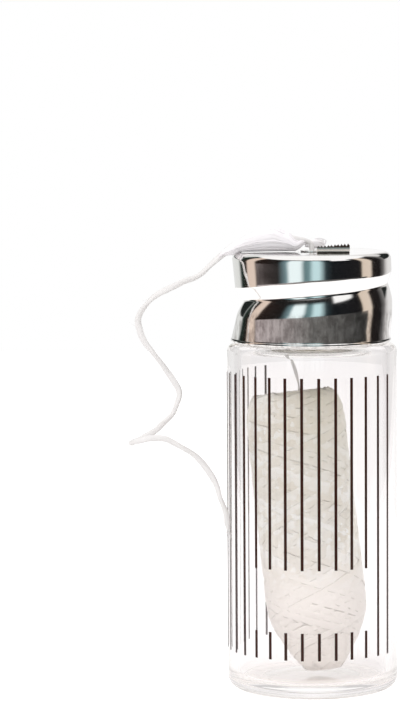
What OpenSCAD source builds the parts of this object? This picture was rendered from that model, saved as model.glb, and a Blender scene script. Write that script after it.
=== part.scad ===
// Dental floss dispenser: a glass vial with printed stripes, a pressed steel screw cap with an
// eyelet and a cutter, and a wound silk refill whose strand runs out through the cap.
// Millimetres. The origin is the centre of the vial's base, +Z is up and the front faces -Y.
// An angle round the vial is counted from the front, towards +X.

/* [Vial] */
// Outer diameter of the glass body
vial_d = 23; // [20:0.5:30]
// Height of the glass, from its base to its lip
vial_h = 58; // [54:1:80]
// Thickness of the side wall
vial_wall = 1.4; // [1:0.1:2]
// Thickness of the floor
vial_floor = 1.6; // [1.2:0.1:3]
// Rounding between the underside and the side
base_round = 1.5; // [0.8:0.1:2]
// Depth of the hollow under the base
punt_depth = 0.4; // [0.2:0.1:0.8]
// Outer diameter of the hollow under the base
punt_d = 12.8; // [8:0.2:15]
// Rounding of the shoulder
shoulder_round = 1.6; // [0.8:0.1:2]

/* [Neck] */
// Height of the neck above the shoulder
neck_h = 11.1; // [10.5:0.1:12]
// Outer diameter of the neck
neck_d = 16.5; // [15:0.5:18]
// Thickness of the neck's wall
neck_wall = 1.15; // [0.9:0.05:1.4]
// Rise of the thread in one turn
thread_pitch = 5; // [4.6:0.1:5.4]
// How far the glass thread stands out of the neck
thread_h = 1.05; // [0.8:0.05:1.2]
// Height of the glass thread at its root
thread_w = 1.9; // [1.6:0.1:2]
// Turns of glass thread
thread_turns = 1; // [0.6:0.1:1]

/* [Print] */
// Width of a printed stripe
stripe_w = 0.4; // [0.2:0.05:0.8]
// Thickness of the ink
stripe_t = 0.04; // [0.02:0.01:0.08]
// Angle from one stripe to the next
stripe_step = 11.25; // [6:0.25:20]
// Number of stripes
stripe_count = 19; // [8:1:30]
// Angle of the first stripe
stripe_first = -141.8; // [-160:0.1:-100]
// Height of the stripes' lower ends
stripe_low = 5.4; // [3:0.1:8]
// Height of the stripes' upper ends
stripe_high = 43.1; // [36:0.1:44]
// Number of the first stripe that the clear window interrupts
window_first = 9; // [4:1:12]
// Number of the last stripe that the clear window interrupts
window_last = 16; // [12:1:18]
// Lower edge of the clear window
window_low = 9.1; // [8.5:0.1:14]
// Upper edge of the clear window
window_high = 17.5; // [15:0.1:30]

/* [Cap] */
// Thickness of the cap's sheet steel
sheet = 0.35; // [0.25:0.05:0.45]
// Radial room between the glass thread and the cap's wall
cap_room = 1.2; // [1:0.05:1.5]
// Rounding of the cap's top edge
cap_round = 1; // [0.8:0.1:1.2]
// How far the skirt draws in towards the hem
skirt_draw = 0.35; // [0.1:0.05:0.6]
// Diameter of the rolled hem's curl
hem_roll = 0.6; // [0.5:0.02:0.7]
// Clearance between the hem and the vial's shoulder
hem_gap = 0.15; // [0.1:0.05:0.6]
// Clearance between the pressed groove and the neck
groove_gap = 0.25; // [0.2:0.05:0.4]
// How far the glass thread's middle lies above the groove's deepest line
groove_drop = 2.8; // [2.7:0.05:3]
// Diameter of the hole in the middle of the top
cap_hole_d = 2.4; // [2:0.1:3]

/* [Liner] */
// Thickness of the sealing disc
liner_t = 0.8; // [0.5:0.05:1]
// Diameter of the hole in the sealing disc
liner_hole_d = 4; // [3.8:0.1:6]
// Clearance between the lip and the sealing disc
seal_gap = 0.05; // [0.02:0.01:0.2]
// Clearance round the sealing disc's edge
liner_gap = 0.05; // [0.02:0.01:0.3]

/* [Eyelet] */
// Diameter of the eyelet's bore
eyelet_bore = 1.6; // [1.2:0.1:1.8]
// Diameter of the eyelet's flanges
eyelet_d = 3.4; // [3.2:0.1:3.7]
// Thickness of the eyelet's flanges
eyelet_t = 0.25; // [0.15:0.05:0.35]
// Clearance between the eyelet's barrel and the hole
eyelet_gap = 0.05; // [0.02:0.01:0.1]

/* [Cutter] */
// Width of the blade
blade_w = 4.4; // [3:0.1:5]
// Height of the blade above the cap at its low end
blade_low = 0.95; // [0.7:0.05:1.5]
// Height of the blade above the cap at its high end
blade_high = 1.3; // [0.8:0.05:2]
// Thickness of the blade's strip
blade_t = 0.3; // [0.2:0.05:0.4]
// Depth of the foot that lies on the cap
foot_depth = 2.2; // [1.5:0.1:2.4]
// Number of teeth
tooth_count = 8; // [5:1:12]
// Depth of a tooth
tooth_depth = 0.3; // [0.15:0.05:0.4]
// Sideways place of the blade's middle
blade_x = 2.9; // [2.7:0.1:4]
// Distance of the blade's face in front of the cap's middle
blade_y = 4.4; // [4.3:0.1:5]

/* [Refill] */
// Length of the wound refill
refill_h = 38.5; // [30:0.5:40]
// Clearance between the refill and the mouth that it goes in through
refill_gap = 0.25; // [0.15:0.05:0.8]
// Length of the refill's tapered lower end
refill_taper = 10; // [6:0.5:12]
// Length of the refill's rounded upper end
refill_crown = 4.5; // [3:0.5:6]
// Diameter of the flat at the lower end
refill_foot_d = 4.4; // [3.6:0.2:6]
// Diameter of the flat at the upper end
refill_top_d = 9.2; // [7:0.2:10]
// Distance from the lower end to where the refill's middle line crosses the vial's
refill_cross = 14; // [12:0.5:16]
// Direction that the refill leans in, from +X towards +Y
refill_lean = 140; // [100:1:170]
// Clearance at the floor and where the refill leans on the wall
lean_gap = 0.3; // [0.2:0.05:0.5]
// Turns in the refill's outer layer
wound_turns = 24; // [16:1:24]
// Diameter of the wound strand
wound_d = 0.6; // [0.5:0.05:0.7]
// Clearance under the wound strand
wound_gap = 0.12; // [0.1:0.01:0.2]
// How far each turn swings up and down as it goes round
wound_swing = 2.2; // [1:0.1:2.4]
// Distance from the lower end to the first turn
wound_low = 1.2; // [1:0.1:2]
// Distance from the upper end to the last turn
wound_high = 0.9; // [0.8:0.1:2]

/* [Floss] */
// Diameter of the floss
floss_d = 0.7; // [0.5:0.05:0.8]

/* [Hidden] */
$fn = 96;

// The vial
vial_r = vial_d / 2;
bore_r = vial_r - vial_wall;
neck_r = neck_d / 2;
mouth_r = neck_r - neck_wall;
shoulder_z = vial_h - neck_h;
inner_round = shoulder_round - 0.4;
lip_round = neck_wall / 2 - 0.05;
inner_shoulder_z = shoulder_z - vial_wall;
neck_fillet = 0.5;
punt_slope = 0.8;
punt_r = punt_d / 2;

// The thread: its middle line, and the profile of the bead that follows it
thread_top_z = vial_h - thread_w / 2 - 0.1;
thread_rings = 48;
thread_fade = 35;
thread_root = 0.4;

// The cap
lap = 0.04;
top_t = sheet + lap;
cap_r = neck_r + thread_h + cap_room + sheet;
cap_in_r = cap_r - sheet;
cap_top = vial_h + seal_gap + liner_t + top_t;
under_top = cap_top - top_t;
hem_z = shoulder_z + hem_gap + hem_roll / 2;
hem_wall_r = cap_r - skirt_draw;
crown_low = cap_top - cap_round - 0.7;
wall_top = crown_low + 0.3;
wall_cols = 60;
wall_rows = 20;
draw_z = hem_z + 4.2;

// The pressed groove, which follows the glass thread from below
groove_full = cap_in_r - (neck_r + groove_gap);
groove_mid_z = thread_top_z - groove_drop;
groove_start = -200;
groove_lead_in = 70;
groove_fade = -80;
groove_end = 160;
upper_flank = [1.6, 1.5];
lower_flank = [1.8, 1.2];

// The refill's place: its middle line crosses the vial's, and its crown leans on the wall
refill_r = mouth_r - refill_gap;
lean_arm = refill_h - refill_crown - refill_cross;
refill_tilt = asin((bore_r - refill_r - lean_gap) / lean_arm);
refill_z = vial_floor + lean_gap + refill_foot_d / 2 * sin(refill_tilt);
cross_z = refill_z + refill_cross * cos(refill_tilt);
wound_offset = wound_gap + wound_d / 2;
wound_step = (refill_h - wound_low - wound_high) / wound_turns;
turn_rings = 24;

// The strand inside the vial runs from the refill's top to the foot of the outer strand.
// Its bends are given for a top at lead_low, and draw up or down with the refill's own.
strand_z = 50.5;
lead_low = 40.5;
lead_start = [-1.3, 0];
lead_route = [
    [-2.3, 1.8, 43], [-2.9, 1.8, 44.8], [-3.4, 1.5, 46.4], [-3.1, 1, 47.6],
    [-2, 0.5, 48.6], [-0.8, 0.1, 49.2], [0, 0, 49.8]
];

// The outer strand: up through the eyelet, over the cap's edge, and down beside the vial
tail_route = [
    [0, 0, 53.5], [0, 0, 57], [0, 0, 60.1], [-0.6, -0.1, 61.3], [-2, -0.3, 62.2],
    [-3.8, -0.7, 62.7], [-5.8, -1, 62.5], [-8, -1.5, 61.8], [-10, -2, 60.7], [-11.8, -2.5, 59.1],
    [-13.7, -3, 57.5], [-15.5, -3, 56.1], [-17.7, -3, 55.2], [-20, -3, 54.1], [-22.1, -3, 52.5],
    [-23.2, -3, 50.4], [-22.9, -3, 48.3], [-21.7, -3, 46.1], [-19.9, -3, 44.1], [-18.5, -3, 41.9],
    [-17.9, -3, 39.8], [-18.7, -3, 37.6], [-20.4, -3, 35.9], [-22.1, -3.1, 34.7],
    [-23.6, -3.7, 34], [-24.2, -5, 33.9], [-23.5, -6.3, 34.3], [-21.8, -6.9, 34.7],
    [-19.8, -6.8, 34.6], [-17.8, -6.6, 33.8], [-15.7, -6.4, 32.4], [-14.1, -6.2, 30.5],
    [-12.9, -6.2, 28.3], [-12.1, -6.3, 26], [-11.6, -6.4, 24], [-11.4, -6.5, 22.2]
];

// A point round the vial, from its angle, radius and height
function at(a, r, z) = [r * sin(a), -r * cos(a), z];

// A rounded stretch of an outline
function arc(c, r, from, to, steps = 8) =
    [for (i = [0:steps])
        let (a = from + (to - from) * i / steps) [c[0] + r * cos(a), c[1] + r * sin(a)]];

// A smooth step from 0 to 1
function smooth(u) = let (v = min(1, max(0, u))) v * v * (3 - 2 * v);

// Two triangles for each side between neighbouring rings of points, closed round the ring
function skin(rings, sides) =
    [for (i = [0:rings - 2], j = [0:sides - 1])
        let (a = i * sides + j, b = i * sides + (j + 1) % sides)
            each [[a, b, b + sides], [a, b + sides, a + sides]]];

// Triangles that close the first ring and the last
function ends(rings, sides) =
    let (last = (rings - 1) * sides)
        [for (j = [1:sides - 2]) each [[0, j + 1, j], [last, last + j, last + j + 1]]];

// A tube of rings: a list of rings with the same number of points
module tube(rings) {
    sides = len(rings[0]);
    points = [for (ring = rings) each ring];
    polyhedron(points, concat(skin(len(rings), sides), ends(len(rings), sides)));
}

// The directions along a line of points
function along(p) =
    [for (i = [0:len(p) - 1])
        let (v = p[min(i + 1, len(p) - 1)] - p[max(i - 1, 0)]) v / norm(v)];

// A direction square to t that stays near n
function square_to(n, t) = let (v = n - (n * t) * t) v / norm(v);

// Directions that stay square to the line without twisting round it
function side_ways(t) =
    [for (i = 0, n = square_to([0, 1, 0.1], t[0]); i < len(t);
          i = i + 1, n = i < len(t) ? square_to(n, t[i]) : n) n];

// A strand's rings along a line of points
function strand(p, r, sides) =
    let (t = along(p), n = side_ways(t))
        [for (i = [0:len(p) - 1])
            [for (j = [0:sides - 1])
                let (a = -360 * j / sides) p[i] + r * (cos(a) * n[i] + sin(a) * cross(t[i], n[i]))]];

// A point half way along each span of a smooth line through the points
function half_way(p, i) =
    let (a = p[max(i - 1, 0)], b = p[i], c = p[i + 1], d = p[min(i + 2, len(p) - 1)])
        (9 * (b + c) - a - d) / 16;

// The route's points, with one more between each two
function eased(p) = [for (i = [0:len(p) - 1]) each i < len(p) - 1 ? [p[i], half_way(p, i)] : [p[i]]];

// The height of the thread's middle line, and of the groove's, at an angle counted along the thread
function thread_z(a) = thread_top_z + thread_pitch * a / 360;
function groove_z(a) = groove_mid_z + thread_pitch * a / 360;

// How deep the groove is at an angle: it runs in at the back and runs out past the front
function groove_depth(a) =
    groove_full * smooth((a - groove_start) / groove_lead_in)
    * min(1, max(0, (groove_end - a) / (groove_end - groove_fade)));

// How far the groove draws in the wall at an angle and a height
function groove_cut(a, z) =
    let (d = groove_depth(a), up = z - groove_z(a),
         above = min(upper_flank[0] + upper_flank[1] * d, crown_low - 0.05 - groove_z(a)),
         below = lower_flank[0] + lower_flank[1] * d)
        d * (1 - smooth(up > 0 ? up / above : -up / below));

// The wall's outer radius
function wall_r(a, z) =
    cap_r - skirt_draw * smooth((draw_z - z) / (draw_z - hem_z))
    - max([for (k = [-1:1]) groove_cut(a + 360 * k, z)]);

// The refill's outer radius, from its lower end to its upper end
function refill_radius(s) =
    s < refill_taper ?
        refill_foot_d / 2 + (refill_r - refill_foot_d / 2) * sin(90 * s / refill_taper) :
    s < refill_h - refill_crown ? refill_r :
        let (u = (s - refill_h + refill_crown) / refill_crown)
            refill_top_d / 2 + (refill_r - refill_top_d / 2) * sqrt(max(0, 1 - u * u));

function core_radius(s) = refill_radius(s) - wound_gap - wound_d;

// A point of the refill, moved to its place in the vial
function in_vial(p) =
    let (s = p[2] - refill_cross,
         x = p[0] * cos(refill_tilt) + s * sin(refill_tilt),
         z = s * cos(refill_tilt) - p[0] * sin(refill_tilt))
        [x * cos(refill_lean) - p[1] * sin(refill_lean),
         x * sin(refill_lean) + p[1] * cos(refill_lean), cross_z + z];

// The middle line of the wound strand after so many turns
function wound_height(t) =
    wound_low + wound_step * t + wound_swing * sin(180 * t / wound_turns) * sin(360 * t);
function wound_at(t) =
    let (s = wound_height(t), rise = (core_radius(s + 0.1) - core_radius(s - 0.1)) / 0.2,
         r = core_radius(s) + wound_offset * sqrt(1 + rise * rise))
        [r * cos(360 * t), r * sin(360 * t), s];

wound_line =
    let (first = wound_at(0), last = wound_at(wound_turns),
         start = first - wound_at(1 / turn_rings), stop = last - wound_at(wound_turns - 1 / turn_rings))
        concat([first + wound_d * start / norm(start)],
               [for (i = [0:wound_turns * turn_rings]) wound_at(i / turn_rings)],
               [last + wound_d * stop / norm(stop)]);

// The least distance from each point of the winding to the next turns
wound_clear =
    min([for (i = [0:len(wound_line) - turn_rings], j = [turn_rings / 2:turn_rings * 3 / 2])
        if (i + j < len(wound_line)) norm(wound_line[i] - wound_line[i + j])]) - wound_d;
echo("least gap between turns of the winding", wound_clear);

module glass_vial() {
    outline = concat(
        [[0, punt_depth], [punt_r - punt_slope, punt_depth], [punt_r, 0]],
        arc([vial_r - base_round, base_round], base_round, -90, 0),
        arc([vial_r - shoulder_round, shoulder_z - shoulder_round], shoulder_round, 0, 90),
        arc([neck_r + neck_fillet, shoulder_z + neck_fillet], neck_fillet, -90, -180, 4),
        arc([neck_r - lip_round, vial_h - lip_round], lip_round, 0, 90, 4),
        arc([mouth_r + lip_round, vial_h - lip_round], lip_round, 90, 180, 4),
        arc([mouth_r + neck_fillet, inner_shoulder_z + neck_fillet], neck_fillet, 180, 270, 4),
        arc([bore_r - inner_round, inner_shoulder_z - inner_round], inner_round, 90, 0),
        arc([bore_r - inner_round, vial_floor + inner_round], inner_round, 0, -90),
        [[0, vial_floor]]
    );
    color("lightblue", 0.4) {
        rotate_extrude() polygon(outline);
        tube([for (i = [0:thread_rings]) bead_ring(-360 * thread_turns * (1 - i / thread_rings))]);
    }
}

// One ring of the glass thread, which sinks into the neck at both ends
function bead_ring(a) =
    let (rise = smooth(-a / thread_fade) * smooth((a + 360 * thread_turns) / thread_fade),
         h = thread_h * rise - 0.2 * (1 - rise))
        [for (p = [[-thread_root, -0.5], [0.55 * h, -0.3], [h, -0.08], [h, 0.08], [0.55 * h, 0.3],
                   [-thread_root, 0.5]])
            at(a, neck_r + p[0], thread_z(a) + p[1] * thread_w)];

// One straight run of ink, from one height to another
module stripe(from, to) {
    translate([-stripe_w / 2, -vial_r - 0.01 - stripe_t, from]) cube([stripe_w, stripe_t, to - from]);
}

module printed_stripes() {
    color("#2b2422")
        for (i = [0:stripe_count - 1])
            rotate([0, 0, stripe_first + i * stripe_step])
                if (i >= window_first && i <= window_last) {
                    stripe(stripe_low, window_low);
                    stripe(window_high, stripe_high);
                } else {
                    stripe(stripe_low, stripe_high);
                }
}

// The plain top of the cap, with its rounded edge
module cap_crown() {
    middle = [cap_r - cap_round, cap_top - cap_round];
    rotate_extrude()
        polygon(concat(
            [[0, under_top]],
            arc(middle, cap_round - top_t, 90, 0),
            [[cap_r - top_t, crown_low], [cap_r, crown_low]],
            arc(middle, cap_round, 0, 90),
            [[0, cap_top]]
        ));
}

// The pressed wall, from the middle of the hem up into the crown
module cap_wall() {
    function ring(z, inset) =
        [for (i = [0:wall_cols - 1])
            let (a = 180 - 360 * i / wall_cols) at(a, wall_r(a, z) - inset, z)];
    heights = [for (i = [0:wall_rows]) hem_z + (wall_top - hem_z) * i / wall_rows];
    outside = [for (z = heights) ring(z, 0.01)];
    inside = [for (i = [wall_rows:-1:0]) ring(heights[i], sheet)];
    rings = concat(outside, inside);
    closing = (len(rings) - 1) * wall_cols;
    polyhedron(
        [for (ring = rings) each ring],
        concat(
            skin(len(rings), wall_cols),
            [for (j = [0:wall_cols - 1])
                let (k = (j + 1) % wall_cols)
                    each [[closing + j, closing + k, k], [closing + j, k, j]]]
        )
    );
}

module cap_shell() {
    color("silver")
        difference() {
            union() {
                cap_crown();
                cap_wall();
                rotate_extrude()
                    translate([hem_wall_r - sheet / 2, hem_z]) circle(d = hem_roll, $fn = 48);
            }
            translate([0, 0, under_top - 1]) cylinder(d = cap_hole_d, h = top_t + 2);
        }
}

module cap_liner() {
    color("white")
        translate([0, 0, vial_h + seal_gap])
            difference() {
                cylinder(r = cap_r - cap_round - liner_gap, h = liner_t);
                translate([0, 0, -1]) cylinder(d = liner_hole_d, h = liner_t + 2);
            }
}

module floss_eyelet() {
    barrel_r = cap_hole_d / 2 - eyelet_gap;
    edge = eyelet_t / 2;
    color("gainsboro")
        rotate_extrude()
            polygon(concat(
                [[eyelet_bore / 2, under_top - eyelet_t]],
                arc([eyelet_d / 2 - edge, under_top - edge], edge, -90, 0, 4),
                [[eyelet_d / 2, under_top], [barrel_r, under_top], [barrel_r, cap_top],
                 [eyelet_d / 2, cap_top]],
                arc([eyelet_d / 2 - edge, cap_top + edge], edge, 0, 90, 4),
                [[eyelet_bore / 2, cap_top + eyelet_t]]
            ));
}

module cutter_blade() {
    tooth_w = blade_w / tooth_count;
    rise = (blade_high - blade_low) / blade_w;
    teeth = [for (i = [tooth_count - 1:-1:0]) let (x = i * tooth_w)
        each [[x + tooth_w, blade_low + rise * (x + tooth_w) - tooth_depth],
              [x + tooth_w / 2, blade_low + rise * (x + tooth_w / 2)]]];
    color("dimgray")
        translate([blade_x - blade_w / 2, -blade_y, cap_top]) {
            difference() {
                translate([0, blade_t, 0])
                    rotate([90, 0, 0])
                        linear_extrude(blade_t)
                            polygon(concat([[0, 0], [blade_w, 0]], teeth,
                                           [[0, blade_low - tooth_depth]]));
                translate([-1, 0, 0])
                    rotate([0, 90, 0])
                        difference() {
                            translate([-blade_t, -1, 0]) cube([2 * blade_t, 1 + blade_t, blade_w + 2]);
                            translate([-blade_t, blade_t, -1])
                                cylinder(r = blade_t, h = blade_w + 4, $fn = 48);
                        }
            }
            translate([0, blade_t, 0]) cube([blade_w, foot_depth - blade_t, blade_t]);
        }
}

module refill_core() {
    steps = 12;
    outline = concat(
        [[0, 0]],
        [for (i = [0:steps]) let (s = refill_taper * i / steps) [core_radius(s), s]],
        [for (i = [0:steps]) let (u = sin(90 * i / steps), s = refill_h - refill_crown * (1 - u))
            [core_radius(s), s]],
        [[0, refill_h]]
    );
    color("gainsboro")
        translate([0, 0, cross_z])
            rotate([0, refill_tilt, refill_lean])
                translate([0, 0, -refill_cross])
                    rotate_extrude() polygon(outline);
}

// The outer layer of the refill: one strand whose turns swing up and down as they climb
module refill_winding() {
    t = along(wound_line);
    rings = [for (i = [0:len(wound_line) - 1])
        let (p = wound_line[i], n = square_to([p[0], p[1], 0] / norm([p[0], p[1]]), t[i]))
            [for (j = [0:5])
                let (a = -60 * j) in_vial(p + wound_d / 2 * (cos(a) * n + sin(a) * cross(t[i], n)))]];
    color("whitesmoke") tube(rings);
}

module floss_lead() {
    low = in_vial([lead_start[0], lead_start[1], refill_h]);
    draw = (strand_z - low[2]) / (strand_z - lead_low);
    route = concat(
        [low, in_vial([lead_start[0], lead_start[1], refill_h + 1.4 * floss_d])],
        [for (p = lead_route) [p[0], p[1], strand_z - (strand_z - p[2]) * draw]],
        [[0, 0, strand_z]]
    );
    color("ghostwhite") tube(strand(eased(route), floss_d / 2, 8));
}

module floss_tail() {
    color("white") tube(strand(eased(concat([[0, 0, strand_z]], tail_route)), floss_d / 2, 8));
}

glass_vial();
printed_stripes();
cap_shell();
cap_liner();
floss_eyelet();
cutter_blade();
refill_core();
refill_winding();
floss_lead();
floss_tail();
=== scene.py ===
import random
from math import atan2, cos, degrees, hypot, pi, radians, sin, sqrt

import bpy
from mathutils import Matrix, Vector, noise


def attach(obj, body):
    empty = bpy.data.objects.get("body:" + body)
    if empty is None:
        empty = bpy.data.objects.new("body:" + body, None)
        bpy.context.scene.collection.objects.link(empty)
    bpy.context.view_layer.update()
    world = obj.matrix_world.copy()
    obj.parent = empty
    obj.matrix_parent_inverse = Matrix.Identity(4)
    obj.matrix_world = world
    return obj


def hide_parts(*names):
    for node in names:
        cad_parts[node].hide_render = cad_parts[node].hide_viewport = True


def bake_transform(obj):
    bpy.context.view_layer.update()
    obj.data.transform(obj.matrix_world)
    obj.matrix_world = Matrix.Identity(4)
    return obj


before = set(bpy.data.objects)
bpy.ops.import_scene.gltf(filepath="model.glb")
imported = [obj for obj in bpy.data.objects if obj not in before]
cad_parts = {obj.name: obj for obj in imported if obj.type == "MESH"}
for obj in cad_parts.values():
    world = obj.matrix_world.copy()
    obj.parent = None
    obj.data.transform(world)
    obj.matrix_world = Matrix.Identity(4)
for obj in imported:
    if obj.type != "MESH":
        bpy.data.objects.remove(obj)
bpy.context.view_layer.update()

mm = 0.001
fullTurn = 2 * pi


def smooth(u):
    v = min(1.0, max(0.0, u))
    return v * v * (3 - 2 * v)


def mix(a, b, u):
    return a + (b - a) * u


def waver(x, y, z):
    # Slow, even noise between about -1 and 1
    return noise.noise(Vector((x, y, z)))


# Camera
camera = {
    "focalPixels": 3137.8,  # fitted to the photograph
    "framePixels": 703,  # its taller side
    "place": (0.0, -0.42285, 0.08447),
    "pitch": -5.2337,
    "yaw": -2.0495,
    "roll": -0.3541,
}


def addCamera():
    pitch, yaw, roll = (radians(camera[k]) for k in ("pitch", "yaw", "roll"))
    ahead = Vector((sin(yaw) * cos(pitch), cos(yaw) * cos(pitch), sin(pitch)))
    right = Vector((cos(yaw), -sin(yaw), 0))
    up = right.cross(ahead)
    right, up = (right * cos(roll) + up * sin(roll),
                 up * cos(roll) - right * sin(roll))
    data = bpy.data.cameras.new("camera")
    data.sensor_width = 36
    data.lens = camera["focalPixels"] * data.sensor_width / camera["framePixels"]
    data.clip_start = 0.01
    data.clip_end = 20
    seen = bpy.data.objects.new("camera", data)
    bpy.context.collection.objects.link(seen)
    facing = Matrix((right, up, -ahead)).transposed().to_4x4()
    seen.matrix_world = Matrix.Translation(camera["place"]) @ facing
    bpy.context.scene.camera = seen


addCamera()
print("camera placed")


# Making a piece
def added(name, primitive, **how):
    # A new primitive at the origin, which alone is selected
    bpy.ops.object.select_all(action="DESELECT")
    primitive(location=(0, 0, 0), **how)
    piece = bpy.context.object
    piece.name = piece.data.name = name
    return piece


def turned(name, points, steps, closed=False):
    # Draws a half outline of (radius, height) in mm and spins it round the vial's axis
    piece = added(name, bpy.ops.mesh.primitive_plane_add, size=mm)
    bpy.ops.object.mode_set(mode="EDIT")
    bpy.ops.mesh.select_all(action="SELECT")
    bpy.ops.mesh.merge(type="CENTER")
    here = Vector((points[0][0] * mm, 0, points[0][1] * mm))
    bpy.ops.transform.translate(value=here)
    for r, z in points[1:] + (points[:1] if closed else []):
        there = Vector((r * mm, 0, z * mm))
        bpy.ops.mesh.extrude_vertices_move(TRANSFORM_OT_translate={"value": there - here})
        here = there
    bpy.ops.mesh.select_all(action="SELECT")
    bpy.ops.mesh.spin(steps=steps, angle=fullTurn, center=(0, 0, 0), axis=(0, 0, 1))
    bpy.ops.mesh.select_all(action="SELECT")
    bpy.ops.mesh.remove_doubles(threshold=0.002 * mm)
    bpy.ops.mesh.normals_make_consistent(inside=False)
    bpy.ops.object.mode_set(mode="OBJECT")
    return piece


def arc(middle, radius, start, stop, steps):
    turns = [radians(mix(start, stop, i / steps)) for i in range(steps + 1)]
    return [(middle[0] + radius * cos(w), middle[1] + radius * sin(w)) for w in turns]


def shadedSmooth(piece, angle):
    # Shaded smooth, with sharp edges over the angle
    bpy.ops.object.select_all(action="DESELECT")
    piece.select_set(True)
    bpy.context.view_layer.objects.active = piece
    bpy.ops.object.shade_smooth_by_angle(angle=radians(angle))
    return piece


def dressed(piece, material, body, slot, *nodes):
    piece.data.materials.append(material)
    if nodes:
        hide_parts(*nodes)
    if body:
        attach(piece, body)


def movedVertices(piece, move):
    # Moves each vertex of a piece, given and returned in mm
    for v in piece.data.vertices:
        v.co = Vector(move(v.co / mm)) * mm
    piece.data.update()


def easedLine(points, cuts):
    # A smooth line through the points, with cuts steps in each span
    line = []
    for i in range(len(points) - 1):
        a, b = points[max(i - 1, 0)], points[i]
        c, d = points[i + 1], points[min(i + 2, len(points) - 1)]
        for k in range(cuts):
            u = k / cuts
            line.append(0.5 * (2 * b + (c - a) * u + (2 * a - 5 * b + 4 * c - d) * u * u
                               + (3 * b - a - 3 * c + d) * u ** 3))
    line.append(points[-1])
    return line


def lineFrames(line):
    # Directions along and across a line that don't twist round it
    along, across = [], []
    side = Vector((0, 1, 0.1))
    for i, p in enumerate(line):
        t = (line[min(i + 1, len(line) - 1)] - line[max(i - 1, 0)]).normalized()
        side = (side - side.dot(t) * t).normalized()
        along.append(t)
        across.append(side.copy())
    return along, across


class TubeMesh:
    # Gathers tubes of any section into one mesh with a UV map: u round, v along in mm
    def __init__(self):
        self.points, self.faces, self.uvs, self.tints = [], [], [], []

    def add(self, rings, tint=0.5, widthMm=1.0):
        start, sides = len(self.points), len(rings[0])
        length = [0.0]
        for a, b in zip(rings, rings[1:]):
            length.append(length[-1] + (sum(b, Vector()) - sum(a, Vector())).length / sides / mm)
        for ring in rings:
            self.points += ring
            self.tints += [tint] * sides
        for i in range(len(rings) - 1):
            for j in range(sides):
                a, b = start + i * sides + j, start + i * sides + (j + 1) % sides
                self.faces.append((a, b, b + sides, a + sides))
                u0, u1 = widthMm * j / sides, widthMm * (j + 1) / sides
                self.uvs.append(((u0, length[i]), (u1, length[i]), (u1, length[i + 1]), (u0, length[i + 1])))
        last = start + (len(rings) - 1) * sides
        self.faces.append(tuple(start + j for j in reversed(range(sides))))
        self.uvs.append(tuple((0.5, 0) for j in range(sides)))
        self.faces.append(tuple(last + j for j in range(sides)))
        self.uvs.append(tuple((0.5, length[-1]) for j in range(sides)))

    def addPly(self, points, radii, sides, tint, widthMm):
        # A round thread through the points, with its radius at each
        along, across = lineFrames(points)
        self.add([section(p, across[i], along[i].cross(across[i]), radii[i], radii[i], sides)
                  for i, p in enumerate(points)], tint, widthMm)

    def made(self, name):
        mesh = bpy.data.meshes.new(name)
        mesh.from_pydata([tuple(p) for p in self.points], [], self.faces)
        uv = mesh.uv_layers.new(name="strand")
        uv.data.foreach_set("uv", [c for face in self.uvs for corner in face for c in corner])
        tint = mesh.attributes.new("tint", "FLOAT", "POINT")
        tint.data.foreach_set("value", self.tints)
        mesh.polygons.foreach_set("use_smooth", [True] * len(mesh.polygons))
        mesh.update()
        piece = bpy.data.objects.new(name, mesh)
        bpy.context.collection.objects.link(piece)
        return piece


def section(centre, across, beside, wide, thick, sides, turn=0.0, shape=lambda w: 1.0):
    # One ring of a strand: wide along across, thick along beside, all turned round it, and shaped
    c, s = cos(turn), sin(turn)
    a, b = across * c + beside * s, beside * c - across * s
    ring = []
    for j in range(sides):
        w = fullTurn * j / sides
        k = shape(w)
        ring.append(centre + a * (wide * k * cos(w)) + b * (thick * k * sin(w)))
    return ring


# Materials
def linear(hexColour):
    # An sRGB hex colour as linear light
    parts = [int(hexColour[i:i + 2], 16) / 255 for i in (1, 3, 5)]
    return tuple(c / 12.92 if c <= 0.04045 else ((c + 0.055) / 1.055) ** 2.4 for c in parts) + (1.0,)


toneA, toneB = 6, 7  # the two colour sockets of a Mix node


def addNode(tree, kind, given=None):
    # A node with what each of its sockets, by name or number, or its properties is given: a value,
    # a colour that starts with #, a socket to link, or a node, whose first output in use is linked
    node = tree.nodes.new("ShaderNode" + kind)
    if kind == "Mix":
        node.data_type = "RGBA"
    for name, value in (given or {}).items():
        if hasattr(value, "outputs"):
            value = next(out for out in value.outputs if out.enabled)
        if isinstance(value, bpy.types.NodeSocket):
            tree.links.new(value, node.inputs[name])
        elif isinstance(name, int) or name in node.inputs:
            node.inputs[name].default_value = linear(value) if str(value).startswith("#") else value
        else:
            setattr(node, name, value)
    return node


def newMaterial(name):
    material = bpy.data.materials.new(name)
    material.use_nodes = True
    material.node_tree.nodes.clear()
    return material, material.node_tree


def finishMaterial(material, shader):
    addNode(material.node_tree, "OutputMaterial", {"Surface": shader})
    return material


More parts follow.
